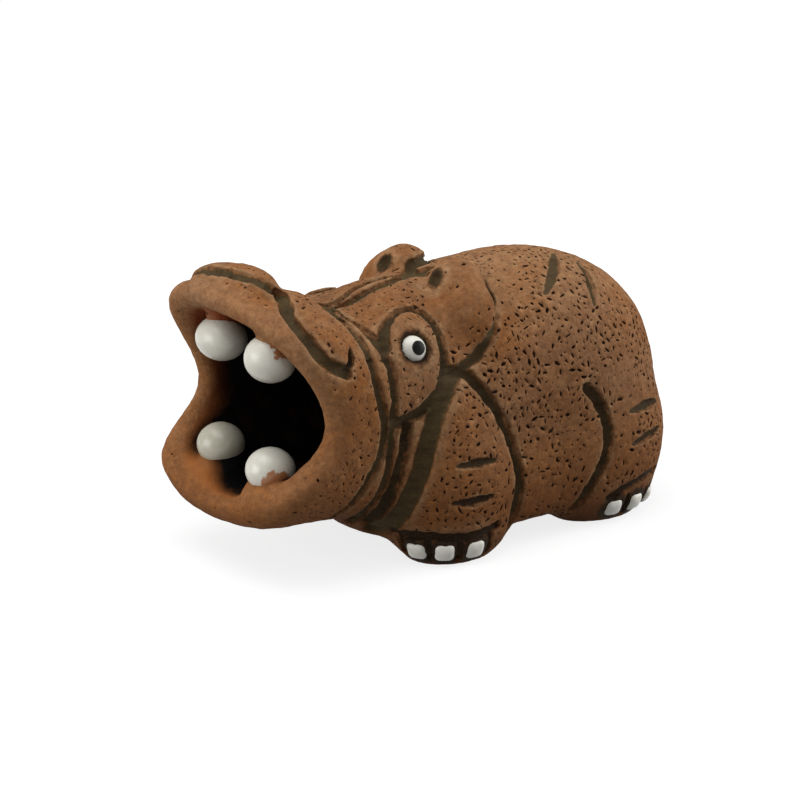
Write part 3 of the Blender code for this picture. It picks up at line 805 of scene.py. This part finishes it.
class HippoClay(PropertyGroup):
    grain: length("Remesh size", "Size of the faces that the carving is cut into", 0.00045, 0.0002)
    faces: count("Faces", "Triangles in the clay before the pits", 84000, 5000)
    most: count("Most faces", "Triangles in the clay with the pits", 192000, 5000)
    relief: length("Relief", "Depth of the hand-worked unevenness", 0.00022)
    pit_spacing: length("Slit spacing", "Least distance between two pressed slits", 0.00175, 0.0008)
    pit_length: length("Slit length", "Half length of a slit at the surface", 0.00082)
    pit_width: length("Slit width", "Half width of a slit at the surface", 0.00040)
    pit_depth: length("Slit depth", "Depth of a slit", 0.00080)
    dot_spacing: length("Dot spacing", "Least distance between two pricked dots", 0.00160, 0.0008)
    dot_size: length("Dot size", "Half width of a pricked dot at the surface", 0.00034)
    ragged: length("Raggedness", "How far the edges of slits and dots stray", 0.00055)
    seed: count("Seed", "Seed of the pits' places", 7, 0)


class HippoEnamel(PropertyGroup):
    coat: length("Coat", "How far the enamel stands off the clay", 0.00012)
    pupil: length("Pupil radius", "Radius of the black pupil", 0.00175)
    uneven: length("Unevenness", "Unevenness of the enamel", 0.00012)
    segments: count("Segments", "Segments round each lump of enamel", 56, 12)


class HippoColours(PropertyGroup):
    body: colour("Clay", "Main colour of the clay", (0.315, 0.150, 0.066))
    rust: colour("Rust", "Warm patches of the clay", (0.340, 0.130, 0.036))
    # Also laid on the paler top, which is partly painted light from above
    pale: colour("Worn", "Worn and top surfaces", (0.450, 0.262, 0.132))
    orange: colour("Lower lining", "Clay inside the lower lip", (0.330, 0.112, 0.028))
    # Partly stain, partly painted shade under the upper lip
    palate_stain_and_shade: colour("Upper lining", "Clay inside the upper lip", (0.170, 0.036, 0.010))
    olive: colour("Grey stain", "Stain in the upper folds", (0.096, 0.069, 0.032))
    # Partly stain, partly painted shade in the lower and deeper folds
    black: colour("Black stain", "Stain in the lower folds", (0.018, 0.011, 0.006))
    pit: colour("Pit", "Colour inside the pits", (0.022, 0.009, 0.005))
    white: colour("White enamel", "Teeth, eyes and toenails", (0.78, 0.765, 0.69))
    mottle: colour("Mottle", "Darker mottling of the clay", (0.115, 0.046, 0.021))
    crumb: colour("Crumbs", "Hollows of the clay's grain", (0.085, 0.036, 0.018))
    fleck: colour("Flecks", "Pale grains in the clay", (0.60, 0.42, 0.27))
    # Painted shade towards the soles, not a colour of the clay
    low_shade: colour("Underside", "Dark clay near the soles", (0.100, 0.036, 0.014))
    # Mostly painted shade, with some stain
    throat_shade_and_stain: colour("Throat", "Deep inside the mouth", (0.0015, 0.0012, 0.001))
    cloud: colour("Enamel clouds", "Duller patches of the white", (0.60, 0.57, 0.47))
    speck: colour("Enamel specks", "Specks in the white", (0.40, 0.30, 0.20))
    # Painted shade on the teeth, not dust
    tooth_shade: colour("Dust", "Dust on the teeth", (0.33, 0.31, 0.22))
    floor: colour("Floor", "Light that the studio floor throws back", (0.24, 0.24, 0.24))


class HippoStage(PropertyGroup):
    azimuth: FloatProperty(name="Azimuth", description="Camera's turn round the animal",
                           default=radians(55.3), subtype="ANGLE")
    elevation: FloatProperty(name="Elevation", description="Camera's angle above the floor",
                             default=radians(16.5), subtype="ANGLE")
    distance: length("Distance", "From the camera to the animal", 0.400, 0.1)
    lens: FloatProperty(name="Lens", description="Focal length in millimetres", default=71.1, min=10.0)
    key: FloatProperty(name="Key light", description="Power of the soft lamp above, in watts", default=2.8)
    sky: FloatProperty(name="Surroundings", description="Strength of the white surroundings", default=0.40)


class HIPPO_OT_clay(Operator):
    """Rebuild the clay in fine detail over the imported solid, and press the pits into it"""
    bl_idname = "hippo.clay"
    bl_label = "Clay body"

    def execute(self, context):
        settings = context.scene.hippo_clay
        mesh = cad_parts["clay_body"].data.copy()
        merged = bmesh.new()
        merged.from_mesh(mesh)
        bmesh.ops.remove_doubles(merged, verts=merged.verts[:], dist=1e-6)
        merged.to_mesh(mesh)
        merged.free()
        obj = add_object("clay_skin", mesh)
        lines = carvings()
        places, outward = studs()
        for _ in range(ROUNDS):
            even = obj.modifiers.new("Even faces", "REMESH")
            even.mode = "VOXEL"
            even.voxel_size = settings.grain
            mesh = settle(obj)
            self.carve(mesh, lines, places, outward)
        self.unevenness(mesh, settings.relief)
        mesh = self.coarser_lining(obj)
        fewer = obj.modifiers.new("Fewer faces", "DECIMATE")
        fewer.ratio = settings.faces / (2.0 * len(mesh.polygons))
        fewer.use_collapse_triangulate = True
        mesh = settle(obj)
        self.mark(mesh, lines, places, outward)
        material = clay_finish(context.scene.hippo_colours)
        pressing = pit_tree()
        slits = {"Spacing": settings.pit_spacing, "Length": settings.pit_length,
                 "Width": settings.pit_width, "Depth": settings.pit_depth, "Sides": 5}
        dots = {"Spacing": settings.dot_spacing, "Length": settings.dot_size,
                "Width": settings.dot_size * 0.8, "Depth": settings.dot_size * 1.8, "Sides": 4}
        for number, values in enumerate((slits, dots)):
            mesh.materials.clear()
            pits = obj.modifiers.new("Pits", "NODES")
            pits.node_group = pressing
            set_inputs(pits, {**values, "Raggedness": settings.ragged, "Seed": settings.seed + number,
                              "Clay": material})
            mesh = settle(obj)
        fewer = obj.modifiers.new("Fewer slivers", "DECIMATE")
        fewer.ratio = min(1.0, settings.most / triangle_count(mesh))
        fewer.use_collapse_triangulate = True
        mesh = settle(obj)
        self.mark(mesh, lines, places, outward)
        mesh.shade_smooth()
        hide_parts("clay_body")
        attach(obj, "root")
        print("clay_skin", triangle_count(mesh), "triangles")
        return {"FINISHED"}

    def carve(self, mesh, lines, places, outward):
        """Moves each vertex along its normal towards the carved surface."""
        cut = softened(mesh, grooves(drawn(vertices_of(mesh)), lines)[0], 2)
        for _ in range(2):
            points, ways = drawn(vertices_of(mesh)), normals_of(mesh)
            gap = clay(points, cut, places, outward)
            points = points - np.clip(gap, -STEP, STEP)[:, None] * ways
            move_vertices(mesh, made(points))

    def coarser_lining(self, obj):
        """Large faces deep in the hollow trunk, where nobody looks."""
        inner = np.flatnonzero(-barrel(drawn(vertices_of(obj.data))) > 4.5)
        obj.vertex_groups.new(name="lining").add(inner.tolist(), 1.0, "REPLACE")
        fewer = obj.modifiers.new("Fewer faces inside", "DECIMATE")
        fewer.vertex_group = "lining"
        fewer.ratio = 1.0 - 0.94 * len(inner) / len(obj.data.vertices)
        mesh = settle(obj)
        obj.vertex_groups.clear()
        return mesh

    def unevenness(self, mesh, depth):
        """Sinks the outside a little by soft noise, as a thumb does."""
        points, ways = drawn(vertices_of(mesh)), normals_of(mesh)
        amount = 0.5 + 0.3 * wobble(points, 7.0, 21, 9) + 0.2 * wobble(points, 2.4, 22, 9)
        amount = np.clip(amount, 0.0, 1.0) * eased((points[:, 2] - 0.3) / 1.0)
        amount *= 1.0 - eased((-barrel(points) - 3.0) / 2.0)
        move_vertices(mesh, made(points) - ways * (amount * depth)[:, None])

    def mark(self, mesh, lines, places, outward):
        """Numbers for the stain, the wear, the painted light and shade, and the pits."""
        points, ways = drawn(vertices_of(mesh)), normals_of(mesh)
        side = mirrored(points)
        _, gap, black = grooves(points, lines)
        gap = softened(mesh, gap, 1)
        shell = np.abs(base_clay(points)) < 3.0
        mouth = eased(1.05 - gape(points) / 1.3) * eased((12.0 - points[:, 1]) / 12.0)
        mouth *= eased((points[:, 1] - rim(points) - 2.0) / 2.5)
        inside = np.maximum(eased((-barrel(points) - 3.0) / 2.0), mouth)
        outside = (1.0 - inside) * shell
        eye = np.linalg.norm(side - places[0], axis=1)
        toe = np.min([np.linalg.norm(side - place, axis=1) for place in places[1:]], axis=0)
        socket = eye / (SOCKET[0] + 0.1)
        ear = np.linalg.norm(side - EAR_HOLE, axis=1) / EAR_STAIN
        nail = toe / TOE_STAIN
        fold = np.minimum.reduce([gap, socket, ear, nail])
        black = np.select([nail <= fold, socket <= fold, ear <= fold], [1.0, 0.9, 0.6], black)
        # How near a carved line is, in half widths of it: the stain ends at 1
        keep_numbers(mesh, "fold", np.minimum(fold + 4.0 * (1.0 - outside), 4.0))
        keep_numbers(mesh, "black", black)
        # Paler towards the top and on faces turned up, less on the head: partly paler clay on the lips and
        # back, partly painted light from above
        lip = eased((rim(points) + 7.5 - points[:, 1]) / 4.0)
        back = 0.25 + 0.75 * eased((points[:, 1] + 2.0) / 24.0)
        height = np.clip(0.55 * (points[:, 2] - 35.0) / 30.0 + 0.5 * ways[:, 2], 0.0, 1.0) * back
        keep_numbers(mesh, "height", np.maximum(height, 0.7 * lip * eased((points[:, 2] - 30.0) / 15.0)))
        keep_numbers(mesh, "warm", np.clip(1.0 - (points[:, 2] - 10.0) / 28.0, 0.0, 0.85) * outside)
        # Share of painted shade, growing towards the soles
        keep_numbers(mesh, "low", np.clip(1.0 - (points[:, 2] - 2.0) / 20.0, 0.0, 1.0) * outside)
        keep_numbers(mesh, "inner", inside)
        # How deep in the mouth, for the painted shade and stain there
        floor = eased((34.0 - points[:, 2]) / 10.0)
        deep = eased((points[:, 1] + 44.0 + 7.6 * floor) / (9.0 - 5.0 * floor))
        keep_numbers(mesh, "dark", deep * inside)
        cluster = 0.45 + 0.55 * eased(0.5 + 0.9 * wobble(points, 14.0, 31, 9))
        free = outside * (gap > 1.35) * (toe > 6.0) * (eye > 5.6) * (points[:, 2] > 3.0)
        ear_spot = np.linalg.norm(side - (15.0, 7.0, 61.0), axis=1) < 11.5
        keep_numbers(mesh, "pitting", free * cluster * (1.0 - 0.95 * lip) * np.where(ear_spot, 0.15, 1.0))
        keep_numbers(mesh, "pit_size", 0.72 + 0.28 * eased((points[:, 1] + 12.0) / 10.0))
        if "pit" not in mesh.attributes:
            mesh.attributes.new("pit", "FLOAT", "FACE")


class HIPPO_OT_teeth(Operator):
    """Coat the four teeth in white enamel"""
    bl_idname = "hippo.teeth"
    bl_label = "Teeth"

    def execute(self, context):
        enamel = context.scene.hippo_enamel
        coat = enamel.coat * 1000.0
        obj = enamel_domes("teeth", [place for place, _ in teeth()],
                           [np.array(radii) + coat for _, radii in teeth()], [(0, 0, 1)] * 4,
                           white_finish(context.scene.hippo_colours), enamel.segments,
                           enamel.uneven)
        points = drawn(vertices_of(obj.data))
        smears = [eased(1.6 - np.linalg.norm(points - spot, axis=1) / reach) for spot, reach in SMEARS]
        keep_numbers(obj.data, "smear", np.maximum(*smears))
        # Painted shade: each tooth darkened by its own share, and more towards the back of the mouth
        tooth_shade = np.repeat(TOOTH_SHADE, len(points) // len(TOOTH_SHADE))
        keep_numbers(obj.data, "tooth_shade", np.maximum(tooth_shade, eased((points[:, 1] + 46.0) / 9.0)))
        return {"FINISHED"}


class HIPPO_OT_eyes(Operator):
    """Set the white eyes and their black pupils"""
    bl_idname = "hippo.eyes"
    bl_label = "Eyes"

    def execute(self, context):
        enamel = context.scene.hippo_enamel
        places, outward = studs()
        white = bpy.data.materials.get("white_enamel") or white_finish(context.scene.hippo_colours)
        radius = EYE_RADIUS + enamel.coat * 500.0
        both = [np.array((side, 1.0, 1.0)) for side in (-1, 1)]
        centre = places[0] - EYE_SUNK * outward[0]
        enamel_domes("eye_whites", [centre * turn for turn in both], [(radius,) * 3] * 2,
                     [outward[0] * turn for turn in both], white, enamel.segments, 0.0)
        pupil = enamel.pupil * 1000.0
        look = outward[0] + np.array((0.0, 0.06, -0.16))
        look /= np.linalg.norm(look)
        cap = centre + look * (radius ** 2 - pupil ** 2) ** 0.5
        enamel_domes("pupils", [cap * turn for turn in both], [(pupil, pupil, 0.62)] * 2,
                     [look * turn for turn in both], black_finish(), enamel.segments, 0.0)
        return {"FINISHED"}


class HIPPO_OT_toenails(Operator):
    """Coat the twelve toenails in white enamel"""
    bl_idname = "hippo.toenails"
    bl_label = "Toenails"

    def execute(self, context):
        enamel = context.scene.hippo_enamel
        places, outward = studs()
        white = bpy.data.materials.get("white_enamel") or white_finish(context.scene.hippo_colours)
        both = [np.array((side, 1.0, 1.0)) for side in (-1, 1)]
        centres = [(place - 0.6 * way) * turn for place, way in zip(places[1:], outward[1:]) for turn in both]
        ways = [way * turn for way in outward[1:] for turn in both]
        radii = np.array((2.35, 2.35, 1.4)) + enamel.coat * 1000.0
        obj = enamel_domes("toenails", centres, [radii] * len(centres), ways, white,
                           enamel.segments // 2, enamel.uneven)
        nails = drawn(vertices_of(obj.data)).reshape(len(centres), -1, 3)
        for nail, centre, way in zip(nails, centres, ways):
            level = np.cross(way, (0.0, 0.0, 1.0))
            level /= np.linalg.norm(level)
            steep = np.cross(level, way)
            a, b = (nail - centre) @ level, (nail - centre) @ steep
            wider = np.hypot(a, b) / np.maximum((a ** 4 + b ** 4) ** 0.25, 1e-6) - 1.0
            nail += wider[:, None] * (a[:, None] * level + b[:, None] * steep)
        move_vertices(obj.data, made(nails.reshape(-1, 3)))
        return {"FINISHED"}


class HIPPO_OT_stage(Operator):
    """Set the white floor, the soft light and the camera"""
    bl_idname = "hippo.stage"
    bl_label = "Stage"

    def execute(self, context):
        scene, stage = context.scene, context.scene.hippo_stage
        a, e = stage.azimuth, stage.elevation
        back = Vector((sin(a) * cos(e), -cos(a) * cos(e), sin(e)))
        target = Vector(CAMERA_TARGET)
        camera = bpy.data.objects.new("camera", bpy.data.cameras.new("camera"))
        camera.location = target + back * stage.distance
        camera.rotation_euler = back.to_track_quat("Z", "Y").to_euler()
        camera.data.lens = stage.lens
        camera.data.sensor_width = 36.0
        camera.data.clip_start = 0.01
        scene.collection.objects.link(camera)
        scene.camera = camera
        floor_mesh = bpy.data.meshes.new("floor")
        floor_mesh.from_pydata([(-3, -3, 0), (3, -3, 0), (3, 3, 0), (-3, 3, 0)], [], [(0, 1, 2, 3)])
        floor_mesh.materials.append(floor_finish(scene.hippo_colours))
        floor = add_object("floor", floor_mesh)
        right = Vector((cos(a), sin(a), 0.0))
        front = Vector((sin(a), -cos(a), 0.0))
        for name, power, size, place in (
                ("soft_top", stage.key, 0.55, -0.12 * right + 0.02 * front + Vector((0, 0, 0.62))),
                ("soft_left", stage.key * 0.80, 0.4, -0.60 * right + 0.22 * front + Vector((0, 0, 0.14))),
                ("soft_right", stage.key * 0.90, 0.4, 0.60 * right - 0.14 * front + Vector((0, 0, 0.28)))):
            lamp = bpy.data.lights.new(name, "AREA")
            lamp.energy, lamp.size = power, size
            holder = bpy.data.objects.new(name, lamp)
            holder.location = place
            holder.rotation_euler = (place - Vector(LAMP_TARGET)).to_track_quat("Z", "Y").to_euler()
            scene.collection.objects.link(holder)
        world = bpy.data.worlds.new("surroundings")
        world.use_nodes = True
        t = Tree(world.node_tree)
        path = t.node("ShaderNodeLightPath")
        strength = spread(t, path.outputs["Is Camera Ray"], 0.0, 1.0, stage.sky, 1.0)
        t.put(world.node_tree.nodes["Background"], "Color", (1.0, 1.0, 1.0, 1.0))
        t.put(world.node_tree.nodes["Background"], "Strength", strength)
        scene.world = world
        scene.view_settings.view_transform = "Standard"
        return {"FINISHED"}


class HIPPO_PT_panel(Panel):
    """Makers and settings of the clay hippopotamus"""
    bl_idname = "HIPPO_PT_panel"
    bl_label = "Clay hippopotamus"
    bl_space_type = "VIEW_3D"
    bl_region_type = "UI"
    bl_category = "Figurine"

    def draw(self, context):
        for maker, group in ((HIPPO_OT_clay, "hippo_clay"), (HIPPO_OT_teeth, "hippo_enamel"),
                             (HIPPO_OT_eyes, None), (HIPPO_OT_toenails, None),
                             (HIPPO_OT_stage, "hippo_stage"), (None, "hippo_colours")):
            box = self.layout.box()
            if maker:
                box.operator(maker.bl_idname)
            if group:
                settings = getattr(context.scene, group)
                for key in settings.__annotations__:
                    box.prop(settings, key)


GROUPS = {"hippo_clay": HippoClay, "hippo_enamel": HippoEnamel, "hippo_colours": HippoColours,
          "hippo_stage": HippoStage}
MAKERS = (HIPPO_OT_clay, HIPPO_OT_teeth, HIPPO_OT_eyes, HIPPO_OT_toenails, HIPPO_OT_stage)


def register():
    for kind in (*GROUPS.values(), *MAKERS, HIPPO_PT_panel):
        bpy.utils.register_class(kind)
    for name, kind in GROUPS.items():
        setattr(bpy.types.Scene, name, PointerProperty(type=kind))


def unregister():
    for name in GROUPS:
        delattr(bpy.types.Scene, name)
    for kind in reversed((*GROUPS.values(), *MAKERS, HIPPO_PT_panel)):
        bpy.utils.unregister_class(kind)


def main():
    register()
    bpy.ops.hippo.clay()
    bpy.ops.hippo.teeth()
    bpy.ops.hippo.eyes()
    bpy.ops.hippo.toenails()
    bpy.ops.hippo.stage()


if __name__ == "__main__":
    main()
